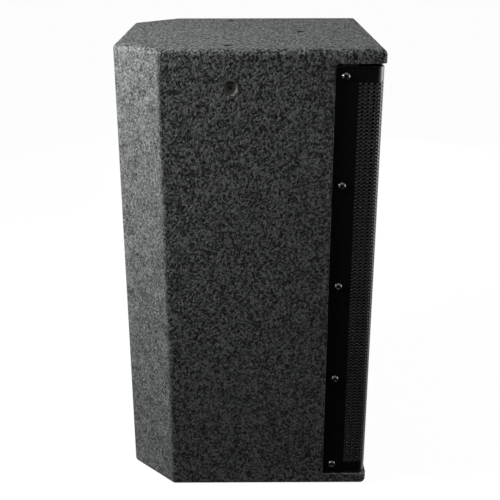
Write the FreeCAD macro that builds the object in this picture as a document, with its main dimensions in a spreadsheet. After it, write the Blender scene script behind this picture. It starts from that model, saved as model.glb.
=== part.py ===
import FreeCAD, Part
import collections
import math
import os
import re
import Sketcher

# Driving dimensions in millimetres: +Z is up, the grille faces -Y, the origin is under the middle of the base
DIMENSIONS = {
    # Cabinet
    "cabinet_width": 300,
    "cabinet_depth": 300,
    "cabinet_height": 550,
    "panel_thickness": 15,
    "corner_width": 52.5,
    "corner_depth": 54,
    "edge_radius": 6.5,
    "shoulder_radius": 2,
    "baffle_setback": 33,
    "baffle_thickness": 15,
    "brace_height": 300,
    "brace_reach": 65,
    "brace_corner": 1.6,
    "brace_depth": 15,
    "brace_breadth": 60,
    # Grille, with one opening in the solid for a field of the sheet's fine holes
    "grille_setback": 1.9,
    "grille_sheet": 1.5,
    "grille_bend": 8,
    "grille_recess": 3,
    "flange_reach": 55,
    "flange_gap": 0.6,
    "grille_top_gap": 4,
    "grille_bottom_gap": 1.5,
    "rim_height": 13,
    "flange_field": 20,
    "opening_pitch": 28.5,
    "opening_side": 10,
    "foam_thickness": 8,
    "foam_margin": 4,
    # Grille screws
    "grille_screw_reach": 43.8,
    "grille_screw_inset": 29,
    "grille_screw_count": 5,
    "grille_screw_length": 10,
    "grille_head_radius": 4.75,
    "grille_head_height": 2.75,
    # Screws and bolts shared by several pieces
    "screw_radius": 2.4,
    "screw_clearance": 0.2,
    "screw_head_radius": 4.4,
    "screw_head_height": 3,
    "screw_length": 17,
    "head_side_share": 0.33,
    "head_top_share": 0.6,
    "rigging_thread": 4,
    "rigging_hole": 5,
    "rigging_head_radius": 7.8,
    "rigging_head_height": 4.4,
    "rigging_bolt_length": 28,
    # Rigging points
    "top_point_x": 116,
    "top_point_reach": 170.7,
    "front_point_reach": 84.5,
    "side_point_reach": 168,
    "side_point_drop": 41.3,
    "bracket_leg": 46,
    "bracket_breadth": 54,
    "bracket_thickness": 4,
    "boss_radius": 7,
    "boss_height": 9,
    "bracket_screw_spread": 19,
    "bracket_screw_inset": 36,
    # Woofer, measured from the face of the baffle
    "woofer_height": 152,
    "frame_radius": 129,
    "frame_flange": 6,
    "frame_lip_radius": 116,
    "landing_radius": 109,
    "landing_height": 2,
    "basket_radius": 115,
    "basket_clearance": 1,
    "basket_straight": 8,
    "ledge_depth": 38,
    "ledge_radius": 80,
    "ledge_wall": 8,
    "cup_radius": 68,
    "cup_wall": 4,
    "cup_shoulder": 14,
    "basket_depth": 58,
    "frame_back": 6,
    "frame_bore": 34,
    "window_inner": 92,
    "window_outer": 105,
    "window_inner_half": 24,
    "window_outer_half": 33,
    "window_count": 6,
    "woofer_screw_circle": 122.5,
    "woofer_screw_count": 8,
    "gasket_thickness": 3,
    "surround_thickness": 1,
    "surround_wave": 4,
    "surround_pleats": 4,
    "cone_radius": 97,
    "cone_lip": 6,
    "cone_thickness": 1.2,
    "cone_depth": 36,
    "dust_cap_radius": 37,
    "dust_cap_height": 9,
    "dust_cap_thickness": 0.8,
    "dust_cap_brow_share": 0.8,
    "coil_radius": 25.5,
    "former_thickness": 0.5,
    "winding_thickness": 1,
    "winding_height": 14,
    "coil_clearance": 0.6,
    "spider_thickness": 1,
    "spider_wave": 2.4,
    "spider_pleats": 6,
    "spider_lip": 4,
    "spider_clearance": 0.3,
    "top_plate_radius": 70,
    "top_plate_thickness": 8,
    "magnet_radius": 78,
    "magnet_bore": 42,
    "magnet_thickness": 20,
    "yoke_radius": 72,
    "yoke_thickness": 8,
    "vent_radius": 9,
    # Horn and its driver, measured from the face of the baffle
    "horn_bottom": 345,
    "horn_top_gap": 45,
    "horn_flange_width": 220,
    "horn_flange": 5,
    "horn_corner": 14,
    "horn_wall": 3,
    "mouth_half_width": 97,
    "mouth_rim": 14,
    "bell_half_width": 72,
    "bell_share": 0.71,
    "bell_depth": 14,
    "waist_half_width": 40,
    "waist_share": 0.41,
    "waist_depth": 45,
    "throat_half_width": 12.5,
    "throat_depth": 90,
    "throat_flange": 6,
    "throat_flange_radius": 38,
    "horn_opening_clearance": 2,
    "horn_screw_inset": 9,
    "driver_plate_radius": 42,
    "driver_plate": 12,
    "driver_magnet_radius": 50,
    "driver_magnet": 20,
    "driver_cover_radius": 40,
    "driver_cover": 22,
    "driver_cover_bevel": 6,
    # Reflex ports
    "port_x": 88,
    "port_height": 302,
    "port_radius": 27,
    "port_wall": 2.5,
    "port_length": 105,
    "port_flange": 3,
    "port_flange_radius": 33,
    "port_clearance": 0.3,
    # Terminals on the rear
    "dish_height": 190,
    "dish_width": 86,
    "dish_tall": 106,
    "dish_depth": 30,
    "dish_wall": 2.5,
    "dish_rim": 12,
    "dish_sunk": 2.2,
    "dish_corner": 8,
    "dish_clearance": 0.4,
    "dish_screw_inset": 6,
    "small_screw_radius": 1.8,
    "small_screw_length": 11,
    "small_head_radius": 3.4,
    "small_head_height": 2,
    "socket_spread": 26,
    "socket_bore": 11.5,
    "socket_wall": 1.5,
    "socket_depth": 22,
    "socket_floor": 2.5,
    "socket_plate": 2.5,
    "socket_plate_width": 30,
    "socket_plate_tall": 34,
    "socket_plate_corner": 3,
    "socket_clearance": 0.2,
    "insert_radius": 5.5,
    "insert_height": 17,
    # Crossover on the base
    "board_width": 150,
    "board_length": 96,
    "board_thickness": 1.6,
    "board_reach": 75,
    "spacer_height": 8,
    "spacer_radius": 4,
    "spacer_inset": 7,
    "inductor_radius": 23,
    "inductor_bore": 9,
    "inductor_height": 22,
    "inductor_x": 44,
    "inductor_y": 18,
    "capacitor_radius": 9,
    "capacitor_length": 36,
    "capacitor_pitch": 24,
    "capacitor_y": 18,
    "resistor_length": 46,
    "resistor_breadth": 10,
    "resistor_height": 9,
    "resistor_y": 38,
    "resistor_spread": 27.6,
    # Wadding
    "wadding_thickness": 18,
    "side_wadding_bottom": 60,
    "side_wadding_top": 280,
    "side_wadding_front": 60,
    "side_wadding_reach": 86,
    "rear_wadding_half": 80,
    "rear_wadding_bottom": 330,
    "rear_wadding_gap": 50,
}

# Places and sizes that follow from the driving dimensions
DERIVED = {
    "half_width": "cabinet_width / 2",
    "half_depth": "cabinet_depth / 2",
    "front_face": "-cabinet_depth / 2",
    "inner_half_width": "half_width - panel_thickness",
    "inner_top": "cabinet_height - panel_thickness",
    "inner_rear": "half_depth - panel_thickness",
    "corner_x": "half_width - corner_width",
    "corner_y": "half_depth - corner_depth",
    "corner_run": "sqrt(corner_width * corner_width + corner_depth * corner_depth)",
    "mitre_y": "corner_y - panel_thickness * (corner_run - corner_depth) / corner_width",
    "mitre_x": "corner_x - panel_thickness * (corner_run - corner_width) / corner_depth",
    "baffle_front": "front_face + baffle_setback",
    "baffle_back": "baffle_front + baffle_thickness",
    "shoulder": "front_face + flange_reach",
    "grille_front": "front_face + grille_setback",
    "grille_half_width": "half_width - grille_recess",
    "rebate_half_width": "grille_half_width - grille_sheet",
    "grille_bottom": "panel_thickness + grille_bottom_gap",
    "grille_top": "inner_top - grille_top_gap",
    "opening_half": "opening_side * sqrt(3) / 2",
    "opening_step": "opening_pitch * sqrt(3)",
    "opening_base": "grille_bottom + rim_height + opening_half",
    "opening_rows": "floor((grille_top - grille_bottom - 2 * (rim_height + opening_half)) / opening_pitch + 0.5)",
    "opening_columns": "floor(2 * (grille_half_width - grille_bend - opening_side) / opening_step) + 1",
    "grille_screw_y": "front_face + grille_screw_reach",
    "grille_screw_pitch": "(cabinet_height - 2 * grille_screw_inset) / (grille_screw_count - 1)",
    "screw_hole": "screw_radius + screw_clearance",
    "small_screw_hole": "small_screw_radius + screw_clearance",
    "side_point_y": "front_face + side_point_reach",
    "side_point_z": "cabinet_height - side_point_drop",
    "top_point_y": "front_face + top_point_reach",
    "front_point_y": "front_face + front_point_reach",
    "bracket_base": "inner_top - bracket_thickness",
    "basket_cut": "basket_radius + basket_clearance",
    "frame_end": "basket_depth + frame_back",
    "former_radius": "coil_radius + former_thickness",
    "winding_radius": "former_radius + winding_thickness",
    "gap_radius": "winding_radius + coil_clearance",
    "pole_radius": "coil_radius - coil_clearance",
    "plate_end": "frame_end + top_plate_thickness",
    "magnet_end": "plate_end + magnet_thickness",
    "yoke_end": "magnet_end + yoke_thickness",
    "winding_end": "frame_end + top_plate_thickness / 2 + winding_height / 2",
    "cone_slope": "(cone_depth + landing_height) / (cone_radius - cone_lip - former_radius)",
    "cap_seat": "cone_thickness - cone_depth + cone_slope * (dust_cap_radius - former_radius)",
    "horn_flange_height": "cabinet_height - horn_top_gap - horn_bottom",
    "horn_height": "horn_bottom + horn_flange_height / 2",
    "mouth_half_height": "horn_flange_height / 2 - mouth_rim",
    "bell_half_height": "mouth_half_height * bell_share",
    "waist_half_height": "mouth_half_height * waist_share",
    "driver_start": "throat_depth + throat_flange",
    "driver_end": "driver_start + driver_plate + driver_magnet",
    "dish_face": "half_depth - dish_sunk",
    "dish_floor": "dish_face - dish_depth",
    "dish_half_width": "dish_width / 2",
    "dish_half_tall": "dish_tall / 2",
    "dish_rim_half_width": "dish_half_width + dish_rim",
    "dish_rim_half_tall": "dish_half_tall + dish_rim",
    "socket_radius": "socket_bore + socket_wall",
    "board_y": "half_depth - board_reach",
    "board_top": "panel_thickness + spacer_height + board_thickness",
}

FRONT = FreeCAD.Rotation(FreeCAD.Vector(1, 0, 0), 90)
REAR = FreeCAD.Rotation(FreeCAD.Vector(1, 0, 0), -90)
RIGHT = FreeCAD.Rotation(FreeCAD.Vector(0, 1, 0), 90)
LEFT = FreeCAD.Rotation(FreeCAD.Vector(0, 1, 0), -90)
DOWN = FreeCAD.Rotation(FreeCAD.Vector(1, 0, 0), 180)
UPRIGHT = FreeCAD.Rotation()

# An arc runs to its corner from the one before, round a centre with a known first coordinate
Arc = collections.namedtuple("Arc", "centre turn")

doc = FreeCAD.newDocument("Loudspeaker")
sheet = doc.addObject("Spreadsheet::Sheet", "Dims")
nodes = []


def fill_sheet():
    for row, (name, value) in enumerate(DIMENSIONS.items(), 1):
        sheet.set(f"A{row}", name)
        sheet.set(f"B{row}", str(value))
        sheet.setAlias(f"B{row}", name)
    doc.recompute()


def expr(text):
    def swap(match):
        word = match.group(0)
        if word in DIMENSIONS:
            return f"Dims.{word}"
        if word in DERIVED:
            return f"({expr(DERIVED[word])})"
        return word

    return re.sub(r"[a-z][a-z0-9_]*", swap, text)


def number(text):
    return float(sheet.evalExpression(expr(text)))


def bind(item, name, text):
    item.setExpression(name, expr(text))


def place(item, x, y, z, turn=UPRIGHT):
    item.Placement = FreeCAD.Placement(FreeCAD.Vector(), turn)
    bind(item, "Placement.Base.x", x)
    bind(item, "Placement.Base.y", y)
    bind(item, "Placement.Base.z", z)


def node(item, label):
    item.Label = label
    nodes.append(item)
    return item


# Sketches

def new_body(name):
    return doc.addObject("PartDesign::Body", name)


def new_sketch(body, role, height="0"):
    plane = next(item for item in body.Origin.OriginFeatures if item.Role == role)
    sketch = body.newObject("Sketcher::SketchObject", "Outline")
    sketch.AttachmentSupport = [(plane, "")]
    sketch.MapMode = "FlatFace"
    bind(sketch, "AttachmentOffset.Base.z", height)
    return sketch


def pin(sketch, edge, end, x, y):
    for kind, axis, text in (("DistanceX", -2, x), ("DistanceY", -1, y)):
        if text == "0":
            sketch.addConstraint(Sketcher.Constraint("PointOnObject", edge, end, axis))
        elif text is not None:
            made = sketch.addConstraint(Sketcher.Constraint(kind, -1, 1, edge, end, number(text)))
            bind(sketch, f"Constraints[{made}]", text)


def add_arc(sketch, here, there, arc):
    known = number(arc.centre)
    rise = there.y * there.y - here.y * here.y
    reach = (there.x - known) ** 2 - (here.x - known) ** 2
    centre = FreeCAD.Vector(known, (rise + reach) / (2 * (there.y - here.y)), 0)
    first, last = (here, there) if arc.turn == "left" else (there, here)
    angles = [math.atan2(point.y - centre.y, point.x - centre.x) for point in (first, last)]
    circle = Part.Circle(centre, FreeCAD.Vector(0, 0, 1), (here - centre).Length)
    edge = sketch.addGeometry(Part.ArcOfCircle(circle, *angles), False)
    pin(sketch, edge, 3, arc.centre, None)
    return (edge, 1, 2) if arc.turn == "left" else (edge, 2, 1)


def trace(sketch, corners):
    points = [FreeCAD.Vector(number(corner[0]), number(corner[1]), 0) for corner in corners]
    edges = []
    for index, corner in enumerate(corners):
        here, there = points[index - 1], points[index]
        if len(corner) == 3:
            edges.append(add_arc(sketch, here, there, corner[2]))
        else:
            edges.append((sketch.addGeometry(Part.LineSegment(here, there), False), 1, 2))
    for index, corner in enumerate(corners):
        edge, first, last = edges[index]
        after, start, finish = edges[(index + 1) % len(corners)]
        sketch.addConstraint(Sketcher.Constraint("Coincident", edge, last, after, start))
        pin(sketch, edge, last, corner[0], corner[1])
    return sketch


def rectangle(sketch, left, bottom, right, top):
    return trace(sketch, [(left, bottom), (right, bottom), (right, top), (left, top)])


def rounded(sketch, half_width, half_height, radius, middle="0"):
    west, east = f"{radius} - ({half_width})", f"{half_width} - ({radius})"
    south, north = f"{middle} + {radius} - ({half_height})", f"{middle} + {half_height} - ({radius})"
    return trace(sketch, [
        (east, f"{middle} - ({half_height})"),
        (half_width, south, Arc(east, "left")),
        (half_width, north),
        (east, f"{middle} + {half_height}", Arc(east, "left")),
        (west, f"{middle} + {half_height}"),
        (f"-({half_width})", north, Arc(west, "left")),
        (f"-({half_width})", south),
        (west, f"{middle} - ({half_height})", Arc(west, "left")),
    ])


def circle(sketch, x, y, radius):
    middle = FreeCAD.Vector(number(x), number(y), 0)
    edge = sketch.addGeometry(Part.Circle(middle, FreeCAD.Vector(0, 0, 1), number(radius)), False)
    pin(sketch, edge, 3, x, y)
    made = sketch.addConstraint(Sketcher.Constraint("Radius", edge, number(radius)))
    bind(sketch, f"Constraints[{made}]", radius)
    return sketch


# Features

def feature(body, kind, sketch, length):
    made = body.newObject(f"PartDesign::{kind}", kind)
    made.Profile = sketch
    bind(made, "Length", length)
    return made


def pad(body, sketch, length):
    return feature(body, "Pad", sketch, length)


def pocket(body, sketch, length, away=False):
    made = feature(body, "Pocket", sketch, length)
    made.Reversed = away
    return made


def revolve(label, corners):
    body = new_body(label)
    sketch = trace(new_sketch(body, "XZ_Plane"), corners)
    made = body.newObject("PartDesign::Revolution", "Revolution")
    made.Profile = sketch
    made.ReferenceAxis = (sketch, ["V_Axis"])
    made.Angle = 360
    return body


def around(body, original, count):
    doc.recompute()
    pattern = body.newObject("PartDesign::PolarPattern", "PolarPattern")
    pattern.Originals = [original]
    pattern.Axis = (next(item for item in body.Origin.OriginFeatures if item.Role == "Z_Axis"), [""])
    pattern.Angle = 360
    bind(pattern, "Occurrences", count)
    body.Tip = pattern
    return pattern


def grid(body, original, sketch, across, columns, rise, rows):
    doc.recompute()
    pattern = body.newObject("PartDesign::LinearPattern", "LinearPattern")
    pattern.Originals = [original]
    pattern.Direction = (sketch, ["H_Axis"])
    pattern.Direction2 = (sketch, ["V_Axis"])
    pattern.Mode = "Spacing"
    pattern.Mode2 = "Spacing"
    bind(pattern, "Offset", across)
    bind(pattern, "Occurrences", columns)
    bind(pattern, "Offset2", rise)
    bind(pattern, "Occurrences2", rows)
    body.Tip = pattern
    return pattern


def common(label, *items):
    made = doc.addObject("Part::MultiCommon", label)
    made.Shapes = list(items)
    return made


def cut(label, base, tool):
    made = doc.addObject("Part::Cut", label)
    made.Base = base
    made.Tool = tool
    return made


def mirrored(label, source):
    made = doc.addObject("Part::Mirroring", label)
    made.Source = source
    made.Normal = FreeCAD.Vector(1, 0, 0)
    return node(made, label)


def copies(label, master, places):
    links = []
    for x, y, z, turn in places:
        link = doc.addObject("App::Link", f"{label}_place")
        link.LinkedObject = master
        place(link, x, y, z, turn)
        links.append(link)
    made = doc.addObject("Part::Compound", label)
    made.Links = links
    return node(made, label)


def screw(name, head_radius, head_height, shank_radius, length):
    return revolve(name, [
        ("0", f"-{length}"),
        (shank_radius, f"-{length}"),
        (shank_radius, "0"),
        (head_radius, "0"),
        (head_radius, f"{head_height} * head_side_share"),
        (f"{head_radius} * head_top_share", head_height),
        ("0", head_height),
    ])


# Cabinet

def cabinet_envelope():
    body = new_body("cabinet_envelope")
    sketch = trace(new_sketch(body, "XY_Plane"), [
        ("half_width", "front_face"),
        ("half_width", "corner_y"),
        ("corner_x", "half_depth"),
        ("-corner_x", "half_depth"),
        ("-half_width", "corner_y"),
        ("-half_width", "front_face"),
    ])
    block = pad(body, sketch, "cabinet_height")
    doc.recompute()
    edges = body.newObject("PartDesign::Fillet", "Fillet")
    edges.Base = (block, [""])
    edges.UseAllEdges = True
    bind(edges, "Radius", "edge_radius")
    return body


def slab(name, bottom, height):
    body = new_body(name)
    sketch = new_sketch(body, "XY_Plane", bottom)
    rectangle(sketch, "-cabinet_width", "-cabinet_depth", "cabinet_width", "cabinet_depth")
    pad(body, sketch, height)
    return body


def upright(name, corners):
    body = new_body(name)
    pad(body, trace(new_sketch(body, "XY_Plane", "panel_thickness"), corners), "inner_top - panel_thickness")
    return body


def top_panel(envelope):
    body = slab("top_slab", "inner_top", "panel_thickness")
    holes = new_sketch(body, "XY_Plane", "cabinet_height")
    circle(holes, "top_point_x", "top_point_y", "rigging_hole")
    circle(holes, "-top_point_x", "top_point_y", "rigging_hole")
    circle(holes, "0", "front_point_y", "rigging_hole")
    pocket(body, holes, "panel_thickness")
    pilots = new_sketch(body, "XY_Plane", "inner_top")
    for x, y in rigging_screw_places():
        circle(pilots, x, y, "small_screw_hole")
    pocket(body, pilots, "small_screw_length - bracket_thickness", away=True)
    node(common("top_panel", envelope, body), "top_panel")


def rigging_screw_places():
    inset, spread = "(inner_half_width - bracket_screw_inset)", "bracket_screw_spread"
    places = [(f"{x} * {inset}", f"top_point_y + {y} * {spread}") for x in (-1, 1) for y in (-1, 1)]
    return places + [(f"{x} * {spread}", "front_point_y") for x in (-1, 1)]


def bottom_panel(envelope):
    body = slab("bottom_slab", "0", "panel_thickness")
    node(common("bottom_panel", envelope, body), "bottom_panel")


def side_panels(envelope):
    body = upright("side_upright", [
        ("inner_half_width", "baffle_front"),
        ("rebate_half_width", "baffle_front"),
        ("rebate_half_width", "shoulder"),
        ("half_width - shoulder_radius", "shoulder"),
        ("half_width", "shoulder + shoulder_radius", Arc("half_width - shoulder_radius", "left")),
        ("2 * half_width - inner_half_width", "shoulder + shoulder_radius"),
        ("2 * half_width - inner_half_width", "2 * corner_y - mitre_y"),
        ("inner_half_width", "mitre_y"),
    ])
    pilots = new_sketch(body, "YZ_Plane", "rebate_half_width")
    for z in grille_screw_heights():
        circle(pilots, "grille_screw_y", z, "screw_hole")
    pocket(body, pilots, "rebate_half_width - inner_half_width")
    point = new_sketch(body, "YZ_Plane", "half_width")
    circle(point, "side_point_y", "side_point_z", "rigging_thread + screw_clearance")
    pocket(body, point, "panel_thickness")
    sink = doc.addObject("Part::Cone", "side_sink")
    bind(sink, "Radius1", "rigging_thread + screw_clearance")
    bind(sink, "Radius2", "rigging_head_radius + screw_clearance")
    bind(sink, "Height", "rigging_head_height")
    place(sink, "half_width - rigging_head_height", "side_point_y", "side_point_z", RIGHT)
    panel = cut("side_panel", common("side_rounded", envelope, body), sink)
    mirrored("left_side_panel", node(panel, "right_side_panel"))


def grille_screw_heights():
    count = int(DIMENSIONS["grille_screw_count"])
    return [f"grille_screw_inset + {step} * grille_screw_pitch" for step in range(count)]


def corner_panels(envelope):
    body = upright("corner_upright", [
        ("inner_half_width", "mitre_y"),
        ("2 * half_width - inner_half_width", "2 * corner_y - mitre_y"),
        ("2 * corner_x - mitre_x", "half_depth + panel_thickness"),
        ("mitre_x", "inner_rear"),
    ])
    mirrored("left_corner_panel", node(common("corner_panel", envelope, body), "right_corner_panel"))


def rear_panel(envelope):
    body = upright("rear_upright", [
        ("mitre_x", "inner_rear"),
        ("2 * corner_x - mitre_x", "half_depth + panel_thickness"),
        ("mitre_x - 2 * corner_x", "half_depth + panel_thickness"),
        ("-mitre_x", "inner_rear"),
    ])
    rim = new_sketch(body, "XZ_Plane", "-half_depth - panel_thickness")
    rounded(rim, "dish_rim_half_width + dish_clearance", "dish_rim_half_tall + dish_clearance",
            "dish_corner + dish_clearance", "dish_height")
    pocket(body, rim, "panel_thickness + dish_sunk + dish_wall", away=True)
    hole = new_sketch(body, "XZ_Plane", "-half_depth - panel_thickness")
    rounded(hole, "dish_half_width + dish_wall + dish_clearance", "dish_half_tall + dish_wall + dish_clearance",
            "dish_corner + dish_clearance", "dish_height")
    pocket(body, hole, "2 * panel_thickness", away=True)
    pilots = new_sketch(body, "XZ_Plane", "-half_depth")
    for x, z in dish_screw_places():
        circle(pilots, x, z, "small_screw_hole")
    pocket(body, pilots, "panel_thickness", away=True)
    node(common("rear_panel", envelope, body), "rear_panel")


def dish_screw_places():
    across = "(dish_rim_half_width - dish_screw_inset)"
    rise = "(dish_rim_half_tall - dish_screw_inset)"
    return [(f"{x} * {across}", f"dish_height + {z} * {rise}") for x in (-1, 1) for z in (-1, 1)]


def front_baffle():
    body = new_body("front_baffle")
    sketch = new_sketch(body, "XZ_Plane", "-baffle_back")
    rectangle(sketch, "-inner_half_width", "panel_thickness", "inner_half_width", "inner_top")
    pad(body, sketch, "baffle_thickness")
    holes = new_sketch(body, "XZ_Plane", "-baffle_front")
    circle(holes, "0", "woofer_height", "basket_cut")
    circle(holes, "port_x", "port_height", "port_radius + port_clearance")
    circle(holes, "-port_x", "port_height", "port_radius + port_clearance")
    rounded(holes, "mouth_half_width + horn_wall + horn_opening_clearance",
            "mouth_half_height + horn_wall + horn_opening_clearance", "horn_corner", "horn_height")
    for x, z in woofer_screw_places() + horn_screw_places():
        circle(holes, x, z, "screw_hole")
    pocket(body, holes, "baffle_thickness")
    node(body, "front_baffle")


def woofer_screw_places():
    count = int(DIMENSIONS["woofer_screw_count"])
    angles = [2 * math.pi * (step + 0.5) / count for step in range(count)]
    return [
        (f"woofer_screw_circle * {math.cos(angle):.9f}", f"woofer_height + woofer_screw_circle * {math.sin(angle):.9f}")
        for angle in angles
    ]


def horn_screw_places():
    across = "(horn_flange_width / 2 - horn_screw_inset)"
    rise = "(horn_flange_height / 2 - horn_screw_inset)"
    return [(f"{x} * {across}", f"horn_height + {z} * {rise}") for x in (-1, 1) for z in (-1, 1)]


def cross_brace():
    body = new_body("cross_brace")
    sketch = new_sketch(body, "XZ_Plane", "brace_reach - half_depth")
    rounded(sketch, "inner_half_width", "brace_breadth / 2", "brace_corner", "brace_height + brace_breadth / 2")
    pad(body, sketch, "brace_depth")
    node(body, "cross_brace")


# Grille

def grille():
    body = new_body("grille")
    tip = "shoulder - flange_gap"
    inner = "grille_half_width - grille_sheet"
    bend = "grille_half_width - grille_bend"
    turn = "grille_front + grille_bend"
    sheet_outline = trace(new_sketch(body, "XY_Plane", "grille_bottom"), [
        ("-grille_half_width", tip),
        ("-grille_half_width", turn),
        (f"-({bend})", "grille_front", Arc(f"-({bend})", "left")),
        (bend, "grille_front"),
        ("grille_half_width", turn, Arc(bend, "left")),
        ("grille_half_width", tip),
        (inner, tip),
        (inner, turn),
        (bend, "grille_front + grille_sheet", Arc(bend, "right")),
        (f"-({bend})", "grille_front + grille_sheet"),
        (f"-({inner})", turn, Arc(f"-({bend})", "right")),
        (f"-({inner})", tip),
    ])
    pad(body, sheet_outline, "grille_top - grille_bottom")
    holes = new_sketch(body, "YZ_Plane", "grille_half_width")
    for z in grille_screw_heights():
        circle(holes, "grille_screw_y", z, "screw_hole")
    pocket(body, holes, "2 * grille_half_width")
    front_openings(body)
    flange_openings(body)
    node(body, "grille")


def hexagon(sketch, x, z):
    return trace(sketch, [
        (f"{x} + opening_side", z),
        (f"{x} + opening_side / 2", f"{z} + opening_half"),
        (f"{x} - opening_side / 2", f"{z} + opening_half"),
        (f"{x} - opening_side", z),
        (f"{x} - opening_side / 2", f"{z} - opening_half"),
        (f"{x} + opening_side / 2", f"{z} - opening_half"),
    ])


def front_openings(body):
    for fewer in (0, 1):
        x = f"opening_step * ({fewer} + 1 - opening_columns) / 2"
        z = f"opening_base + opening_pitch / 2 * {fewer}"
        sketch = hexagon(new_sketch(body, "XZ_Plane", "-grille_front"), x, z)
        hole = pocket(body, sketch, "grille_sheet")
        grid(body, hole, sketch, "opening_step", f"opening_columns - {fewer}", "opening_pitch", "opening_rows")


def flange_openings(body):
    sketch = new_sketch(body, "YZ_Plane", "grille_half_width")
    hexagon(sketch, "grille_front + grille_bend + flange_field / 2", "opening_base + opening_pitch / 2")
    hole = pocket(body, sketch, "2 * grille_half_width")
    grid(body, hole, sketch, "opening_pitch", "1", "opening_pitch", "opening_rows")


def grille_foam():
    body = new_body("grille_foam")
    sketch = new_sketch(body, "XZ_Plane", "-grille_front - grille_sheet - foam_thickness")
    half = "grille_half_width - grille_bend - foam_margin"
    rectangle(sketch, f"-({half})", "grille_bottom + foam_margin", half, "grille_top - foam_margin")
    pad(body, sketch, "foam_thickness")
    node(body, "grille_foam")


def grille_screws():
    master = screw("grille_screw", "grille_head_radius", "grille_head_height", "screw_radius", "grille_screw_length")
    places = [("grille_half_width", "grille_screw_y", z, RIGHT) for z in grille_screw_heights()]
    places += [("-grille_half_width", "grille_screw_y", z, LEFT) for z in grille_screw_heights()]
    copies("grille_screws", master, places)


# Rigging points

def rigging_brackets():
    body = new_body("rigging_bracket")
    angle = trace(new_sketch(body, "XZ_Plane", "-top_point_y - bracket_breadth / 2"), [
        ("inner_half_width", "inner_top"),
        ("inner_half_width - bracket_leg", "inner_top"),
        ("inner_half_width - bracket_leg", "bracket_base"),
        ("inner_half_width - bracket_thickness", "bracket_base"),
        ("inner_half_width - bracket_thickness", "inner_top - bracket_leg"),
        ("inner_half_width", "inner_top - bracket_leg"),
    ])
    pad(body, angle, "bracket_breadth")
    top_boss = new_sketch(body, "XY_Plane", "bracket_base - boss_height")
    pad(body, circle(top_boss, "top_point_x", "top_point_y", "boss_radius"), "boss_height")
    side_boss = new_sketch(body, "YZ_Plane", "inner_half_width - bracket_thickness - boss_height")
    pad(body, circle(side_boss, "side_point_y", "side_point_z", "boss_radius"), "boss_height")
    top_thread = new_sketch(body, "XY_Plane", "inner_top")
    circle(top_thread, "top_point_x", "top_point_y", "rigging_thread")
    pocket(body, top_thread, "bracket_thickness + boss_height")
    side_thread = new_sketch(body, "YZ_Plane", "inner_half_width")
    circle(side_thread, "side_point_y", "side_point_z", "rigging_thread + screw_clearance")
    pocket(body, side_thread, "bracket_thickness + boss_height")
    screw_holes = new_sketch(body, "XY_Plane", "inner_top")
    for x, y in rigging_screw_places()[2:4]:
        circle(screw_holes, x, y, "small_screw_hole")
    pocket(body, screw_holes, "bracket_thickness")
    mirrored("rigging_bracket_left", node(body, "rigging_bracket_right"))


def rigging_plate():
    body = new_body("rigging_plate_front")
    sketch = new_sketch(body, "XY_Plane", "bracket_base")
    rectangle(sketch, "-bracket_breadth / 2", "front_point_y - bracket_leg / 2", "bracket_breadth / 2",
              "front_point_y + bracket_leg / 2")
    pad(body, sketch, "bracket_thickness")
    boss = new_sketch(body, "XY_Plane", "bracket_base - boss_height")
    pad(body, circle(boss, "0", "front_point_y", "boss_radius"), "boss_height")
    thread = new_sketch(body, "XY_Plane", "inner_top")
    pocket(body, circle(thread, "0", "front_point_y", "rigging_thread"), "bracket_thickness + boss_height")
    screw_holes = new_sketch(body, "XY_Plane", "inner_top")
    for x, y in rigging_screw_places()[4:]:
        circle(screw_holes, x, y, "small_screw_hole")
    pocket(body, screw_holes, "bracket_thickness")
    node(body, "rigging_plate_front")


def side_bolts():
    master = revolve("side_bolt", [
        ("0", "-rigging_bolt_length"),
        ("rigging_thread", "-rigging_bolt_length"),
        ("rigging_thread", "-rigging_head_height"),
        ("rigging_head_radius", "0"),
        ("0", "0"),
    ])
    copies("side_bolts", master, [
        ("half_width", "side_point_y", "side_point_z", RIGHT),
        ("-half_width", "side_point_y", "side_point_z", LEFT),
    ])


# Woofer, each piece turned about its own axis with the face of the baffle at zero

def seat_woofer(body, label):
    place(body, "0", "baffle_front", "woofer_height", FRONT)
    return node(body, label)


def woofer_frame():
    body = revolve("woofer_frame", [
        ("basket_radius", "0"),
        ("frame_radius", "0"),
        ("frame_radius", "frame_flange"),
        ("frame_lip_radius", "frame_flange"),
        ("frame_lip_radius", "landing_height"),
        ("landing_radius", "landing_height"),
        ("landing_radius", "-basket_straight"),
        ("ledge_radius", "-ledge_depth"),
        ("cup_radius", "-ledge_depth"),
        ("cup_radius", "-basket_depth"),
        ("frame_bore", "-basket_depth"),
        ("frame_bore", "-frame_end"),
        ("cup_radius + cup_wall", "-frame_end"),
        ("cup_radius + cup_wall", "-ledge_depth - cup_shoulder"),
        ("ledge_radius + ledge_wall", "-ledge_depth"),
        ("basket_radius", "-basket_straight"),
    ])
    window = trace(new_sketch(body, "XY_Plane", "-basket_straight"), [
        ("window_inner", "-window_inner_half"),
        ("window_outer", "-window_outer_half"),
        ("window_outer", "window_outer_half"),
        ("window_inner", "window_inner_half"),
    ])
    around(body, pocket(body, window, "basket_depth"), "window_count")
    holes = new_sketch(body, "XY_Plane", "frame_flange")
    angle = math.pi / DIMENSIONS["woofer_screw_count"]
    circle(holes, f"woofer_screw_circle * {math.cos(angle):.9f}", f"woofer_screw_circle * {math.sin(angle):.9f}",
           "screw_hole")
    around(body, pocket(body, holes, "frame_flange"), "woofer_screw_count")
    seat_woofer(body, "woofer_frame")


def woofer_gasket():
    base = "landing_height + surround_thickness"
    seat_woofer(revolve("woofer_gasket", [
        ("landing_radius", base),
        ("frame_lip_radius", base),
        ("frame_lip_radius", f"{base} + gasket_thickness"),
        ("landing_radius", f"{base} + gasket_thickness"),
    ]), "woofer_gasket")


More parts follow.
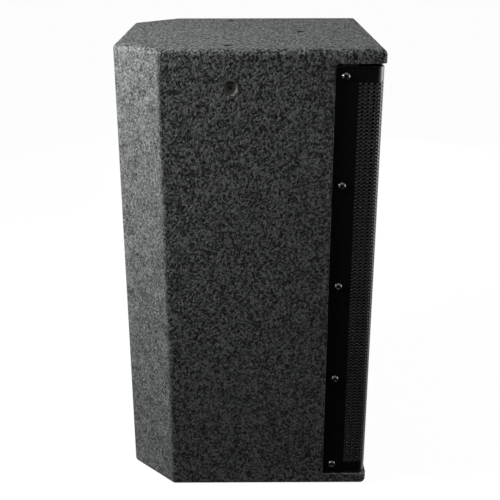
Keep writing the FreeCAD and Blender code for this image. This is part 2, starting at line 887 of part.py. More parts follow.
def pleated(label, inner, outer, lip, base, wave, thickness, pleats):
    crest = [f"{inner} + ({outer} - {inner}) * {step} / {pleats}" for step in range(pleats + 1)]
    lift = [base if step % 2 == 0 else f"{base} + {wave}" for step in range(pleats + 1)]
    under = [(f"{inner} - {lip[0]}", base)] + list(zip(crest, lift)) + [(f"{outer} + {lip[1]}", base)]
    over = [(x, f"{z} + {thickness}") for x, z in reversed(under)]
    seat_woofer(revolve(label, under + over), label)


def woofer_surround():
    lips = ("cone_lip", "frame_lip_radius - landing_radius")
    pleated("woofer_surround", "cone_radius", "landing_radius", lips, "landing_height", "surround_wave",
            "surround_thickness", int(DIMENSIONS["surround_pleats"]))


def woofer_cone():
    edge = "cone_radius - cone_lip"
    seat_woofer(revolve("woofer_cone", [
        ("former_radius", "-cone_depth"),
        (edge, "landing_height - cone_thickness"),
        ("cone_radius", "landing_height - cone_thickness"),
        ("cone_radius", "landing_height"),
        (edge, "landing_height"),
        ("former_radius", "cone_thickness - cone_depth"),
    ]), "woofer_cone")


def dust_cap():
    crown = "cap_seat + dust_cap_height"
    brow = ("dust_cap_radius / 2", "cap_seat + dust_cap_height * dust_cap_brow_share")
    seat_woofer(revolve("dust_cap", [
        ("0", crown),
        brow,
        ("dust_cap_radius", "cap_seat"),
        ("dust_cap_radius - 2 * dust_cap_thickness", "cap_seat"),
        (brow[0], f"{brow[1]} - dust_cap_thickness"),
        ("0", f"{crown} - dust_cap_thickness"),
    ]), "dust_cap")


def voice_coil():
    seat_woofer(revolve("voice_coil", [
        ("coil_radius", "-winding_end"),
        ("winding_radius", "-winding_end"),
        ("winding_radius", "winding_height - winding_end"),
        ("former_radius", "winding_height - winding_end"),
        ("former_radius", "cone_thickness - cone_depth"),
        ("coil_radius", "cone_thickness - cone_depth"),
    ]), "voice_coil")


def spider():
    lips = ("(spider_lip - spider_clearance)", "ledge_radius - cup_radius")
    pleated("spider", "(former_radius + spider_lip)", "cup_radius", lips, "-ledge_depth", "spider_wave",
            "spider_thickness", int(DIMENSIONS["spider_pleats"]))


def magnet_system():
    seat_woofer(revolve("top_plate", [
        ("gap_radius", "-plate_end"),
        ("top_plate_radius", "-plate_end"),
        ("top_plate_radius", "-frame_end"),
        ("gap_radius", "-frame_end"),
    ]), "top_plate")
    seat_woofer(revolve("magnet", [
        ("magnet_bore", "-magnet_end"),
        ("magnet_radius", "-magnet_end"),
        ("magnet_radius", "-plate_end"),
        ("magnet_bore", "-plate_end"),
    ]), "magnet")
    seat_woofer(revolve("yoke", [
        ("vent_radius", "-yoke_end"),
        ("yoke_radius", "-yoke_end"),
        ("yoke_radius", "-magnet_end"),
        ("pole_radius", "-magnet_end"),
        ("pole_radius", "-frame_end"),
        ("vent_radius", "-frame_end"),
    ]), "yoke")


def driver_screws():
    master = screw("driver_screw", "screw_head_radius", "screw_head_height", "screw_radius", "screw_length")
    copies("woofer_screws", master,
           [(x, "baffle_front - frame_flange", z, FRONT) for x, z in woofer_screw_places()])
    copies("horn_screws", master,
           [(x, "baffle_front - horn_flange", z, FRONT) for x, z in horn_screw_places()])


# Horn and its driver

def flare(body, kind, extra):
    sections = []
    stations = [
        ("mouth_half_width", "mouth_half_height", "horn_flange"),
        ("bell_half_width", "bell_half_height", "-bell_depth"),
        ("waist_half_width", "waist_half_height", "-waist_depth"),
        ("throat_half_width", "throat_half_width", "-throat_depth"),
    ]
    for wide, tall, height in stations:
        sketch = new_sketch(body, "XY_Plane", height)
        rectangle(sketch, f"-({wide}) - {extra}", f"-({tall}) - {extra}", f"{wide} + {extra}", f"{tall} + {extra}")
        sections.append(sketch)
    loft = body.newObject(f"PartDesign::{kind}", kind)
    loft.Profile = sections[0]
    loft.Sections = sections[1:]
    loft.Ruled = True


def horn():
    body = new_body("horn")
    rim = new_sketch(body, "XY_Plane")
    rounded(rim, "horn_flange_width / 2", "horn_flange_height / 2", "horn_corner")
    for x, z in horn_screw_places():
        circle(rim, x, f"{z} - horn_height", "screw_hole")
    pad(body, rim, "horn_flange")
    flare(body, "AdditiveLoft", "horn_wall")
    neck = new_sketch(body, "XY_Plane", "-driver_start")
    pad(body, circle(neck, "0", "0", "throat_flange_radius"), "throat_flange")
    flare(body, "SubtractiveLoft", "0")
    throat = new_sketch(body, "XY_Plane", "-throat_depth")
    pocket(body, circle(throat, "0", "0", "throat_half_width"), "throat_flange")
    place(body, "0", "baffle_front", "horn_height", FRONT)
    node(body, "horn")


def compression_driver():
    body = revolve("compression_driver", [
        ("0", "-driver_end"),
        ("driver_magnet_radius", "-driver_end"),
        ("driver_magnet_radius", "-driver_start - driver_plate"),
        ("driver_plate_radius", "-driver_start - driver_plate"),
        ("driver_plate_radius", "-driver_start"),
        ("0", "-driver_start"),
    ])
    place(body, "0", "baffle_front", "horn_height", FRONT)
    node(body, "compression_driver")
    end = "-driver_end - driver_cover"
    cover = revolve("driver_cover", [
        ("0", end),
        ("driver_cover_radius - driver_cover_bevel", end),
        ("driver_cover_radius", f"{end} + driver_cover_bevel"),
        ("driver_cover_radius", "-driver_end"),
        ("0", "-driver_end"),
    ])
    place(cover, "0", "baffle_front", "horn_height", FRONT)
    node(cover, "driver_cover")


def ports():
    body = revolve("right_port", [
        ("port_radius - port_wall", "-port_length"),
        ("port_radius", "-port_length"),
        ("port_radius", "0"),
        ("port_flange_radius", "0"),
        ("port_flange_radius", "port_flange"),
        ("port_radius - port_wall", "port_flange"),
    ])
    place(body, "port_x", "baffle_front", "port_height", FRONT)
    mirrored("left_port", node(body, "right_port"))


# Terminals

def terminal_dish():
    body = new_body("terminal_dish")
    rim = new_sketch(body, "XZ_Plane", "-dish_face")
    rounded(rim, "dish_rim_half_width", "dish_rim_half_tall", "dish_corner", "dish_height")
    pad(body, rim, "dish_wall")
    tub = new_sketch(body, "XZ_Plane", "-dish_face")
    rounded(tub, "dish_half_width + dish_wall", "dish_half_tall + dish_wall", "dish_corner", "dish_height")
    pad(body, tub, "dish_depth + dish_wall")
    hollow = new_sketch(body, "XZ_Plane", "-dish_face")
    rounded(hollow, "dish_half_width", "dish_half_tall", "dish_corner - dish_wall", "dish_height")
    pocket(body, hollow, "dish_depth", away=True)
    holes = new_sketch(body, "XZ_Plane", "-dish_face")
    for side in (-1, 1):
        circle(holes, "0", f"dish_height + {side} * socket_spread", "socket_radius + socket_clearance")
    pocket(body, holes, "dish_depth + dish_wall", away=True)
    screw_holes = new_sketch(body, "XZ_Plane", "-dish_face")
    for x, z in dish_screw_places():
        circle(screw_holes, x, z, "small_screw_hole")
    pocket(body, screw_holes, "dish_wall", away=True)
    node(body, "terminal_dish")


def sockets():
    base = "socket_plate - socket_depth"
    master = revolve("socket", [
        ("0", f"{base} - socket_floor"),
        ("socket_radius", f"{base} - socket_floor"),
        ("socket_radius", "socket_plate"),
        ("socket_bore", "socket_plate"),
        ("socket_bore", base),
        ("0", base),
    ])
    plate = new_sketch(master, "XY_Plane")
    rounded(plate, "socket_plate_width / 2", "socket_plate_tall / 2", "socket_plate_corner")
    circle(plate, "0", "0", "socket_bore + socket_wall / 2")
    pad(master, plate, "socket_plate")
    insert = revolve("socket_insert", [
        ("0", base),
        ("insert_radius", base),
        ("insert_radius", f"{base} + insert_height"),
        ("0", f"{base} + insert_height"),
    ])
    heights = {"upper": "dish_height + socket_spread", "lower": "dish_height - socket_spread"}
    for name, z in heights.items():
        copies(f"{name}_socket", master, [("0", "dish_floor", z, REAR)])
    copies("socket_inserts", insert, [("0", "dish_floor", z, REAR) for z in heights.values()])


def small_screws():
    master = screw("small_screw", "small_head_radius", "small_head_height", "small_screw_radius", "small_screw_length")
    copies("dish_screws", master, [(x, "dish_face", z, REAR) for x, z in dish_screw_places()])
    copies("rigging_screws", master, [(x, y, "bracket_base", DOWN) for x, y in rigging_screw_places()])


# Crossover

def crossover():
    board = new_body("crossover_board")
    sketch = new_sketch(board, "XY_Plane", "panel_thickness + spacer_height")
    rectangle(sketch, "-board_width / 2", "board_y - board_length / 2", "board_width / 2", "board_y + board_length / 2")
    pad(board, sketch, "board_thickness")
    node(board, "crossover_board")
    spacer = doc.addObject("Part::Cylinder", "board_spacer")
    bind(spacer, "Radius", "spacer_radius")
    bind(spacer, "Height", "spacer_height")
    across, along = "(board_width / 2 - spacer_inset)", "(board_length / 2 - spacer_inset)"
    copies("board_spacers", spacer, [
        (f"{x} * {across}", f"board_y + {y} * {along}", "panel_thickness", UPRIGHT) for x in (-1, 1) for y in (-1, 1)
    ])
    coil = revolve("inductor", [
        ("inductor_bore", "0"),
        ("inductor_radius", "0"),
        ("inductor_radius", "inductor_height"),
        ("inductor_bore", "inductor_height"),
    ])
    copies("inductors", coil, [
        (f"{side} * inductor_x", "board_y - inductor_y", "board_top", UPRIGHT) for side in (-1, 1)
    ])
    can = doc.addObject("Part::Cylinder", "capacitor")
    bind(can, "Radius", "capacitor_radius")
    bind(can, "Height", "capacitor_length")
    copies("capacitors", can, [
        (f"{step} * capacitor_pitch - capacitor_length / 2", "board_y + capacitor_y", "board_top + capacitor_radius", RIGHT)
        for step in (-2, 0, 2)
    ])
    brick = doc.addObject("Part::Box", "resistor")
    bind(brick, "Length", "resistor_length")
    bind(brick, "Width", "resistor_breadth")
    bind(brick, "Height", "resistor_height")
    copies("resistors", brick, [
        (f"{side} * resistor_spread - resistor_length / 2", "board_y + resistor_y - resistor_breadth / 2",
         "board_top", UPRIGHT) for side in (-1, 1)
    ])


# Wadding

def wadding():
    side = new_body("right_wadding")
    sketch = new_sketch(side, "YZ_Plane", "inner_half_width - wadding_thickness")
    rectangle(sketch, "front_face + side_wadding_front", "side_wadding_bottom", "half_depth - side_wadding_reach",
              "side_wadding_top")
    pad(side, sketch, "wadding_thickness")
    mirrored("left_wadding", node(side, "right_wadding"))
    rear = new_body("rear_wadding")
    sketch = new_sketch(rear, "XZ_Plane", "-inner_rear")
    rectangle(sketch, "-rear_wadding_half", "rear_wadding_bottom", "rear_wadding_half",
              "cabinet_height - rear_wadding_gap")
    pad(rear, sketch, "wadding_thickness")
    node(rear, "rear_wadding")


def build():
    fill_sheet()
    envelope = cabinet_envelope()
    top_panel(envelope)
    bottom_panel(envelope)
    side_panels(envelope)
    corner_panels(envelope)
    rear_panel(envelope)
    front_baffle()
    cross_brace()
    grille()
    grille_foam()
    grille_screws()
    rigging_brackets()
    rigging_plate()
    side_bolts()
    woofer_frame()
    woofer_gasket()
    woofer_surround()
    woofer_cone()
    dust_cap()
    voice_coil()
    spider()
    magnet_system()
    driver_screws()
    horn()
    compression_driver()
    ports()
    terminal_dish()
    sockets()
    small_screws()
    crossover()
    wadding()
    doc.recompute()


def check():
    failed = [item.Name for item in doc.Objects if "Invalid" in item.State or "Error" in item.State]
    if failed:
        raise RuntimeError(f"failed objects: {failed}")
    for item in nodes:
        if item.Shape.isNull() or not item.Shape.isValid() or not item.Shape.Solids:
            raise RuntimeError(f"bad shape: {item.Label}")


def write():
    os.makedirs("parts", exist_ok=True)
    for item in nodes:
        item.Shape.exportStep(f"parts/{item.Label}.step")
        box = item.Shape.BoundBox
        print(item.Label, len(item.Shape.Solids), round(item.Shape.Volume), box)


build()
check()
write()
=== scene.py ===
import bpy
import bmesh
import math
from mathutils import Matrix, Vector, noise


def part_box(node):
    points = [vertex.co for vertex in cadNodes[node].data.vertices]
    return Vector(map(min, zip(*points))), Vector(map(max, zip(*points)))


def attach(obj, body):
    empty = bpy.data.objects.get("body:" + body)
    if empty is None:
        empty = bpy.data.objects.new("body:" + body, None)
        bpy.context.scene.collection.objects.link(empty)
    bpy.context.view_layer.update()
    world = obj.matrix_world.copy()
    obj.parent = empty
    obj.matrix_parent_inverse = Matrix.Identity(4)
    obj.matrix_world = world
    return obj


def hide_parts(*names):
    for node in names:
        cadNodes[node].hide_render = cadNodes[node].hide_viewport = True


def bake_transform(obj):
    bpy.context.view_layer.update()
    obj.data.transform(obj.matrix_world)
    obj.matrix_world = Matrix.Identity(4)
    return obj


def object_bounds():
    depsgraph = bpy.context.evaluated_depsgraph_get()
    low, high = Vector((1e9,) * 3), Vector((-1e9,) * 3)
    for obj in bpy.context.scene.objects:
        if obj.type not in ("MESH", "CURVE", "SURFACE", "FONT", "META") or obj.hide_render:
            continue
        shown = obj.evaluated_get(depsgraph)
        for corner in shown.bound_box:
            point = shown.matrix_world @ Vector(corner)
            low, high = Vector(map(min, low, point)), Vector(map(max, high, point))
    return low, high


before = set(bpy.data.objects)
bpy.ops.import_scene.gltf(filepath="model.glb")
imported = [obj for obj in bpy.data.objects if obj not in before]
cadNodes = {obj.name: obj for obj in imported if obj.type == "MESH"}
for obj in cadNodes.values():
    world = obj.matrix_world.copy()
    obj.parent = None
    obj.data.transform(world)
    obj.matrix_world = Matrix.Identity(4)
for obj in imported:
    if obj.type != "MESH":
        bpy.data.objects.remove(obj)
cadBox = [list(corner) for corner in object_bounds()]
scene = bpy.context.scene
mm = 0.001
weldGap = 0.001 * mm  # points nearer than this become one
print("frame loaded with", len(cadNodes), "nodes")


# Shared helpers

def linear(code):
    parts = [int(code[i:i + 2], 16) / 255 for i in (1, 3, 5)]
    return tuple(c / 12.92 if c <= 0.04045 else ((c + 0.055) / 1.055) ** 2.4 for c in parts) + (1.0,)


def addNode(tree, kind, inputs=None, **settings):
    made = tree.nodes.new(kind)
    for name, value in settings.items():
        setattr(made, name, value)
    for name, value in (inputs or {}).items():
        if isinstance(value, bpy.types.NodeSocket):
            tree.links.new(value, made.inputs[name])
        else:
            made.inputs[name].default_value = value
    return made


def newObject(name, data):
    made = bpy.data.objects.new(name, data)
    scene.collection.objects.link(made)
    return made


def meshOf(name, work):
    mesh = bpy.data.meshes.new(name)
    work.to_mesh(mesh)
    work.free()
    return mesh


def meshFrom(name, places, faces):
    work = bmesh.new()
    verts = [work.verts.new(place) for place in places]
    for face in faces:
        work.faces.new([verts[i] for i in face])
    bmesh.ops.remove_doubles(work, verts=work.verts, dist=weldGap)
    bmesh.ops.recalc_face_normals(work, faces=work.faces)
    return meshOf(name, work)


# rings of equal length are joined in order, and the first and the last are closed
def loftMesh(name, rings):
    count = len(rings[0])
    faces = []
    for row in range(len(rings) - 1):
        start, after = row * count, (row + 1) * count
        for i in range(count):
            j = (i + 1) % count
            faces.append((start + i, start + j, after + j, after + i))
    faces.append(tuple(range(count)))
    faces.append(tuple((len(rings) - 1) * count + i for i in range(count)))
    return meshFrom(name, [point for ring in rings for point in ring], faces)


def dress(piece, material, body="cabinet", smooth=35):
    piece.data.materials.clear()
    piece.data.materials.append(material)
    for face in piece.data.polygons:
        face.use_smooth = True
    piece.data.set_sharp_from_angle(angle=math.radians(smooth))
    if body:
        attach(piece, body)
    return piece


# turns the result of the modifiers into a plain mesh
def bake(piece):
    bpy.context.view_layer.update()
    graph = bpy.context.evaluated_depsgraph_get()
    mesh = bpy.data.meshes.new_from_object(piece.evaluated_get(graph))
    piece.modifiers.clear()
    piece.data = mesh
    return piece


def newTree(name, inputs):
    tree = bpy.data.node_groups.new(name, "GeometryNodeTree")
    for label, kind in inputs.items():
        tree.interface.new_socket(label, in_out="INPUT", socket_type="NodeSocket" + kind)
    tree.interface.new_socket("Geometry", in_out="OUTPUT", socket_type="NodeSocketGeometry")
    return tree, addNode(tree, "NodeGroupInput").outputs


# ends a tree: the copies become plain mesh and get their finish
def endTree(tree, copies, finish):
    plain = addNode(tree, "GeometryNodeRealizeInstances", {"Geometry": copies})
    finished = addNode(tree, "GeometryNodeSetMaterial", {"Geometry": plain.outputs[0], "Material": finish})
    addNode(tree, "NodeGroupOutput", {"Geometry": finished.outputs[0]})
    return tree


def runTree(piece, tree, values):
    modifier = piece.modifiers.new(tree.name, "NODES")
    modifier.node_group = tree
    for item in tree.interface.items_tree:
        if item.in_out == "INPUT" and item.name in values:
            modifier[item.identifier] = values[item.name]
    return bake(piece)


# Camera at the photograph's angle
cameraSetup = {
    "place": (-1.0946, 0.0016, 0.6864),  # metres
    "pitch": 21.06,  # degrees down
    "yaw": 0.255,  # degrees towards the grille
    "roll": -0.075,
    "focalPixels": 878.6,
    "framePixels": 500,
    "sensor": 36.0,
    "clip": (0.01, 60.0),  # metres
}


def makeCamera():
    spec = cameraSetup
    data = bpy.data.cameras.new("photoCamera")
    data.sensor_width = spec["sensor"]
    data.lens = spec["focalPixels"] / spec["framePixels"] * spec["sensor"]
    data.clip_start, data.clip_end = spec["clip"]
    camera = newObject("photoCamera", data)
    pitch, yaw, roll = (math.radians(spec[name]) for name in ("pitch", "yaw", "roll"))
    forward = Vector((math.cos(yaw) * math.cos(pitch), -math.sin(yaw) * math.cos(pitch), -math.sin(pitch)))
    turn = forward.to_track_quat("-Z", "Y").to_matrix().to_4x4()
    camera.matrix_world = Matrix.Translation(spec["place"]) @ turn @ Matrix.Rotation(roll, 4, "Z")
    scene.camera = camera


makeCamera()
print("camera set")


# Materials: each one is named for the real finish, and pattern sizes are in millimetres

def newFinish(name):
    material = bpy.data.materials.new(name)
    material.use_nodes = True
    tree = material.node_tree
    shader = tree.nodes["Principled BSDF"]
    coords = addNode(tree, "ShaderNodeTexCoord").outputs["Object"]
    return material, tree, shader, coords


cabinetPaint = {
    # the hollow and crest colours are partly the paint's own speck and partly painted shade in the hollows
    # and painted highlight on the crests
    "hollowSpeckAndShade": "#0d0e0e",
    "grey": "#373938",
    "crestSpeckAndLight": "#5c5e5d",
    "noise": {  # size, detail, roughness and swirl
        "grain": (2.7, 2.0, 0.45, 0.7),  # from one crest of the rolled texture to the next
        "grit": (0.9, 1.0, 0.5, 0.0),
        "mottle": (14.0, 2.0, 0.5, 0.0),  # slow change from one roller pass to the next
    },
    "gritShare": 0.22,  # of the grain's height
    "mottleShare": 0.16,
    "midHeight": 0.61,
    "bumpMm": 1.6,
    "roughHeights": (0.5, 0.7),  # of the hollows and the crests
    "roughHollow": 0.9,
    "roughCrest": 0.5,
    "specular": 0.12,
    "rampStops": {"hollowSpeckAndShade": 0.58, "grey": 0.69, "crestSpeckAndLight": 0.83},
    "cornerFacing": (0.717, 0.697),  # how far the slanting corners face to the side and to the rear
    "cornerReachMm": 174.5,  # how far out they stand that way
    "cornerFadeMm": (2.0, 1.0),  # the flattening comes in between these depths under their faces
    "cornerReliefAndSheen": 0.44,  # share of the relief left on the corners: the bump is lower there, and the speckle pressed towards grey is painted sheen from the rear light
    "shadedHoleMouths": ((-116.0, 20.7), (116.0, 20.7), (0.0, -65.5)),  # rigging holes in the top; their walls and a thin ring round each mouth take the darkest colour, as painted shade
    "holeMm": 5.4,
    "holeFadeMm": 1.0,
}


# how much of the relief is left: all of it, and less on the slanting corners, where the bump is lower and the
# flatter speckle is painted sheen
def cornerReliefAndSheen(tree, coords):
    spec = cabinetPaint
    place = addNode(tree, "ShaderNodeSeparateXYZ", {"Vector": coords}).outputs
    aside = addNode(tree, "ShaderNodeMath", {0: place["X"]}, operation="ABSOLUTE")
    aside = addNode(tree, "ShaderNodeMath", {0: aside.outputs[0], 1: spec["cornerFacing"][0]},
                    operation="MULTIPLY")
    reach = addNode(tree, "ShaderNodeMath", {0: place["Y"], 1: spec["cornerFacing"][1], 2: aside.outputs[0]},
                    operation="MULTIPLY_ADD")
    start, end = (spec["cornerReachMm"] - depth for depth in spec["cornerFadeMm"])
    relief = addNode(tree, "ShaderNodeMapRange", {
        "Value": reach.outputs[0], "From Min": start * mm, "From Max": end * mm, "To Min": 1.0,
        "To Max": spec["cornerReliefAndSheen"]})
    return relief.outputs[0]


# Textured polyurethane paint, rolled on: a grey film that stands up in worm-like crests; the colour is darker
# in the hollows and lighter on the crests, partly the paint's own speck and partly painted shade and painted
# highlight
def rolledTexturePaint():
    spec = cabinetPaint
    material, tree, shader, coords = newFinish("rolledTexturePaint")
    layers = {}
    for layer, (size, detail, rough, swirl) in spec["noise"].items():
        layers[layer] = addNode(tree, "ShaderNodeTexNoise", {
            "Vector": coords, "Scale": 1 / (size * mm), "Detail": detail, "Roughness": rough,
            "Distortion": swirl}).outputs["Fac"]
    height = addNode(tree, "ShaderNodeMath", {0: layers["grit"], 1: spec["gritShare"], 2: layers["grain"]},
                     operation="MULTIPLY_ADD")
    height = addNode(tree, "ShaderNodeMath", {0: height.outputs[0], 1: spec["midHeight"]},
                     operation="SUBTRACT")
    # on the slanting corners the speckle is pressed towards grey, as painted sheen from the rear light
    height = addNode(tree, "ShaderNodeMath", {
        0: height.outputs[0], 1: cornerReliefAndSheen(tree, coords), 2: spec["midHeight"]}, operation="MULTIPLY_ADD")
    shade = addNode(tree, "ShaderNodeMath", {
        0: layers["mottle"], 1: spec["mottleShare"], 2: height.outputs[0]}, operation="MULTIPLY_ADD")
    # the rigging holes' walls and mouths are darkened to the hollow colour as painted shade
    for x, y in spec["shadedHoleMouths"]:
        away = addNode(tree, "ShaderNodeVectorMath", {0: coords, 1: (x * mm, y * mm, cadBox[1][2])},
                       operation="DISTANCE")
        outsideHoleShade = addNode(tree, "ShaderNodeMapRange", {
            "Value": away.outputs["Value"], "From Min": spec["holeMm"] * mm,
            "From Max": (spec["holeMm"] + spec["holeFadeMm"]) * mm})
        shade = addNode(tree, "ShaderNodeMath", {0: shade.outputs[0], 1: outsideHoleShade.outputs[0]},
                        operation="MULTIPLY")
    # the ramp paints the hollows darker and the crests lighter: partly the paint's own speck, partly painted
    # shade and painted highlight
    ramp = addNode(tree, "ShaderNodeValToRGB", {"Fac": shade.outputs[0]})
    stops = ramp.color_ramp.elements
    stops.new(spec["rampStops"]["grey"])
    for stop, (code, position) in zip(stops, spec["rampStops"].items()):
        stop.position, stop.color = position, linear(spec[code])
    rough = addNode(tree, "ShaderNodeMapRange", {
        "Value": height.outputs[0], "From Min": spec["roughHeights"][0], "From Max": spec["roughHeights"][1],
        "To Min": spec["roughHollow"], "To Max": spec["roughCrest"]})
    bump = addNode(tree, "ShaderNodeBump", {
        "Height": height.outputs[0], "Strength": 1.0, "Distance": spec["bumpMm"] * mm})
    tree.links.new(ramp.outputs["Color"], shader.inputs["Base Color"])
    tree.links.new(rough.outputs[0], shader.inputs["Roughness"])
    tree.links.new(bump.outputs["Normal"], shader.inputs["Normal"])
    shader.inputs["Specular IOR Level"].default_value = spec["specular"]
    return material


# One spec for each plainer finish: two colours, the pattern between them, its size and how the light meets it
finishes = {
    # powder coat baked on steel: near black, an even satin with a faint orange peel
    "satinPowderCoat": {"dark": "#050505", "light": "#0b0b0b", "pattern": "noise", "sizeMm": 1.6,
                        "rough": (0.26, 0.32), "bumpMm": 0.03, "specular": 0.5},
    # chemically blackened screws: a metal that still throws small bright glints
    "blackOxideSteel": {"dark": "#1c1c1e", "light": "#343436", "pattern": "noise", "sizeMm": 1.2,
                        "rough": (0.22, 0.36), "bumpMm": 0.02, "metal": 1.0},
    # black zinc over steel: smoother and brighter, so each button head shows a crescent of light
    "blackZincSteel": {"dark": "#454548", "light": "#5c5c5f", "pattern": "noise", "sizeMm": 1.0,
                       "rough": (0.18, 0.26), "bumpMm": 0.01, "metal": 1.0},
    # phosphated and oiled steel: a dull brownish black that scatters light like a dark stone
    "phosphatedSteel": {"dark": "#231f1d", "light": "#3a352f", "pattern": "noise", "sizeMm": 0.9,
                        "rough": (0.5, 0.65), "bumpMm": 0.03, "specular": 0.5},
    # open-cell polyurethane foam: a soft black surface of small pits
    "openCellFoam": {"dark": "#030303", "light": "#141414", "pattern": "cells", "sizeMm": 1.4,
                     "rough": (0.9, 1.0), "bumpMm": 0.8, "specular": 0.05},
    # birch plywood under black stain: the grain still shows as long streaks
    "blackStainedPlywood": {"dark": "#0a0a0a", "light": "#1d1b1a", "pattern": "noise", "sizeMm": 3.0,
                            "stretch": (1.0, 1.0, 0.06), "rough": (0.6, 0.8), "bumpMm": 0.12,
                            "specular": 0.25},
    # zinc-plated pressed steel: a bright metal with a cloudy spangle
    "zincPlatedSteel": {"dark": "#8e9296", "light": "#c3c7ca", "pattern": "cells", "sizeMm": 4.0,
                        "rough": (0.28, 0.42), "bumpMm": 0.02, "metal": 1.0},
    # cast aluminium, lacquered black: slightly lumpy, satin
    "lacqueredCasting": {"dark": "#101011", "light": "#1e1e20", "pattern": "noise", "sizeMm": 2.4,
                         "rough": (0.4, 0.55), "bumpMm": 0.15, "specular": 0.4},
    # cork and rubber gasket: dull with a coarse fleck
    "corkRubber": {"dark": "#121110", "light": "#2b2622", "pattern": "cells", "sizeMm": 1.5,
                   "rough": (0.8, 0.9), "bumpMm": 0.15, "specular": 0.2},
    # doped cloth: a sealed weave with a sticky sheen, drawn coarser than the thread so that it shows
    "dopedCloth": {"dark": "#15120f", "light": "#2e2822", "pattern": "weave", "sizeMm": 3.55,
                   "rough": (0.35, 0.55), "bumpMm": 0.15, "specular": 0.4},
    # phenolic-stiffened cotton of the centring disc: a honey brown weave, drawn coarser than the thread
    "stiffenedCotton": {"dark": "#7a5526", "light": "#a97d42", "pattern": "weave", "sizeMm": 2.76,
                        "rough": (0.6, 0.75), "bumpMm": 0.15, "specular": 0.3},
    # pressed paper pulp, dyed: fibres felted every way
    "pressedPulp": {"dark": "#141414", "light": "#2d2c2a", "pattern": "noise", "sizeMm": 1.8,
                    "stretch": (0.35, 1.0, 1.0), "rough": (0.75, 0.9), "bumpMm": 0.2, "specular": 0.2},
    # enamelled copper wire laid turn by turn: ridges painted bright and the grooves between turns painted
    # dark, as painted highlight and painted shade, drawn coarser than the wire so that they show
    "enamelledCopper": {"dark": "#7a3517", "light": "#c46a3a", "pattern": "turnsY", "sizeMm": 1.97,
                        "rough": (0.25, 0.4), "bumpMm": 0.3, "metal": 1.0},
    # thicker enamelled wire wound on upright coils: the same painted highlight on the ridges and painted
    # shade between turns, drawn coarser again
    "woundCopper": {"dark": "#7a3517", "light": "#c46a3a", "pattern": "turnsZ", "sizeMm": 2.37,
                    "rough": (0.25, 0.4), "bumpMm": 0.4, "metal": 1.0},
    # sintered ferrite: charcoal ceramic with fine pits
    "sinteredFerrite": {"dark": "#1b1c1f", "light": "#303236", "pattern": "noise", "sizeMm": 1.2,
                        "rough": (0.55, 0.75), "bumpMm": 0.08, "specular": 0.4},
    # spark-textured black moulding: even fine grain
    "sparkTexturedAbs": {"dark": "#0d0d0e", "light": "#191a1b", "pattern": "noise", "sizeMm": 0.8,
                         "rough": (0.45, 0.6), "bumpMm": 0.06, "specular": 0.4},
    # glass-filled nylon: the same black, a little greyer and drier
    "glassFilledNylon": {"dark": "#121315", "light": "#232528", "pattern": "noise", "sizeMm": 0.7,
                         "rough": (0.5, 0.65), "bumpMm": 0.05, "specular": 0.4},
    # lacquered steel of the high-frequency driver: dark, with a soft gloss
    "lacqueredSteel": {"dark": "#161618", "light": "#2a2a2d", "pattern": "noise", "sizeMm": 2.0,
                       "rough": (0.3, 0.42), "bumpMm": 0.04, "specular": 0.5},
    # solder mask over laminate: glossy green with the copper pattern just showing
    "solderMaskLaminate": {"dark": "#12381f", "light": "#1f5a33", "pattern": "cells", "sizeMm": 9.0,
                           "rough": (0.25, 0.4), "bumpMm": 0.05, "specular": 0.5},
    # film sleeve shrunk over a capacitor: glossy ochre with slow ripples
    "filmSleeve": {"dark": "#8f6a10", "light": "#b78c1e", "pattern": "noise", "sizeMm": 6.0,
                   "rough": (0.2, 0.35), "bumpMm": 0.05, "specular": 0.5},
    # cement body of a power resistor: chalky with pin holes
    "resistorCement": {"dark": "#c4c2ba", "light": "#e4e2dc", "pattern": "noise", "sizeMm": 1.0,
                       "rough": (0.8, 0.95), "bumpMm": 0.12, "specular": 0.3},
    # turned natural nylon: milky, with a quiet shine
    "naturalNylon": {"dark": "#cfcdc4", "light": "#e6e4dc", "pattern": "noise", "sizeMm": 2.0,
                     "rough": (0.4, 0.5), "bumpMm": 0.03, "specular": 0.5},
    # polyester wadding: pale, loose, long fibres
    "polyesterWadding": {"dark": "#8f8d87", "light": "#d9d7d1", "pattern": "noise", "sizeMm": 5.0,
                         "stretch": (1.0, 0.3, 1.0), "rough": (0.95, 1.0), "bumpMm": 2.0, "specular": 0.05},
}
finishPattern = {
    "lowest": 0.3,  # height that takes the dark colour
    "highest": 0.7,  # height that takes the light one
    "detail": 4.0,
    "detailShare": 0.55,
    "waveTurn": 20.0,  # radians of the wave texture in one unit at scale 1
}


# height of a finish's pattern, from 0 to 1
def patternHeight(tree, coords, spec):
    stretch = spec.get("stretch", (1.0, 1.0, 1.0))
    place = addNode(tree, "ShaderNodeMapping", {"Vector": coords, "Scale": stretch}).outputs[0]
    pattern, scale = spec["pattern"], 1 / (spec["sizeMm"] * mm)
    waveScale = scale * 2 * math.pi / finishPattern["waveTurn"]
    if pattern == "cells":
        return addNode(tree, "ShaderNodeTexVoronoi", {"Vector": place, "Scale": scale}).outputs["Distance"]
    if pattern == "noise":
        return addNode(tree, "ShaderNodeTexNoise", {
            "Vector": place, "Scale": scale, "Detail": finishPattern["detail"],
            "Roughness": finishPattern["detailShare"]}).outputs["Fac"]
    axes = ("X", "Z") if pattern == "weave" else pattern[-1]
    waves = [addNode(tree, "ShaderNodeTexWave", {"Vector": place, "Scale": waveScale},
                     bands_direction=axis).outputs["Fac"] for axis in axes]
    if len(waves) == 1:
        return waves[0]
    return addNode(tree, "ShaderNodeMath", {0: waves[0], 1: waves[1]}, operation="MULTIPLY").outputs[0]


